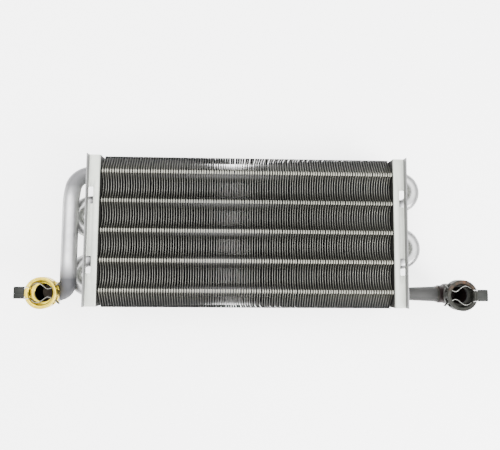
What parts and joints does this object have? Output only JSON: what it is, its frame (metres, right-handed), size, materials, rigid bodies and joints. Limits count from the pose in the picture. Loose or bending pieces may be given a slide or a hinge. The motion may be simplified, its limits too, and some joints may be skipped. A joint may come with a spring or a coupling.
{
  "type": "finned-tube boiler heat exchanger",
  "caption": "Gas boiler main heat exchanger: water tubes through a scalloped fin pack between flanged end plates, with return bends and two clip-retained pipe sockets.",
  "frame": {"origin": "centre of the bounding box's footprint, on the flat face of the lower flanges", "axes": "+X along the tubes from the inlet socket to the outlet socket, +Y from the sockets' row across the tubes, +Z from the flue side to the burner side"},
  "size_m": [0.5298, 0.1758, 0.072],
  "materials": {
    "plate_coat": "satin silver coat",
    "fin_coat": "satin silver coat",
    "pipe_coat": "satin silver coat",
    "braze": "solidified solder",
    "strip_steel": "rolled strip",
    "brass": "turned",
    "dark_brass": "heat-darkened",
    "seal_rubber": "matt",
    "clip_steel": "bright spring strip"
  },
  "bodies": {
    "core": {"end_plate_left": "plate_coat", "end_plate_right": "plate_coat", "fin_group_01": "fin_coat", "fin_group_02": "fin_coat", "fin_group_03": "fin_coat", "fin_group_04": "fin_coat", "fin_group_05": "fin_coat", "fin_group_06": "fin_coat", "fin_group_07": "fin_coat", "fin_group_08": "fin_coat", "fin_group_09": "fin_coat", "fin_group_10": "fin_coat", "fin_group_11": "fin_coat", "fin_group_12": "fin_coat", "fin_group_13": "fin_coat", "fin_group_14": "fin_coat", "fin_group_15": "fin_coat", "fin_group_16": "fin_coat", "fin_group_17": "fin_coat", "fin_group_18": "fin_coat", "fin_group_19": "fin_coat", "fin_group_20": "fin_coat", "fin_group_21": "fin_coat", "fin_group_22": "fin_coat", "fin_group_23": "fin_coat", "tube_1": "pipe_coat", "tube_2": "pipe_coat", "tube_3": "pipe_coat", "tube_4": "pipe_coat", "tube_5": "pipe_coat", "return_bend_1": "pipe_coat", "return_bend_2": "pipe_coat", "return_bend_3": "pipe_coat", "return_bend_4": "pipe_coat", "braze_ring_left_1": "braze", "braze_ring_left_2": "braze", "braze_ring_left_3": "braze", "braze_ring_left_4": "braze", "braze_ring_left_5": "braze", "braze_ring_right_1": "braze", "braze_ring_right_2": "braze", "braze_ring_right_3": "braze", "braze_ring_right_4": "braze", "braze_ring_right_5": "braze", "turbulator_1": "strip_steel", "turbulator_2": "strip_steel", "turbulator_3": "strip_steel", "turbulator_4": "strip_steel", "turbulator_5": "strip_steel", "inlet_pipe": "pipe_coat", "outlet_pipe": "pipe_coat", "inlet_socket": "brass", "outlet_socket": "dark_brass", "inlet_seal": "seal_rubber", "outlet_seal": "seal_rubber"},
    "inlet_clip_body": {"inlet_clip": "clip_steel"},
    "outlet_clip_body": {"outlet_clip": "clip_steel"}
  },
  "joints": [
    {"name": "inlet_clip_slide", "type": "slide", "parent": "core", "child": "inlet_clip_body", "axis": [-1, 0, 0], "range_m": [0, 0.022]},
    {"name": "outlet_clip_slide", "type": "slide", "parent": "core", "child": "outlet_clip_body", "axis": [1, 0, 0], "range_m": [0, 0.022]}
  ]
}
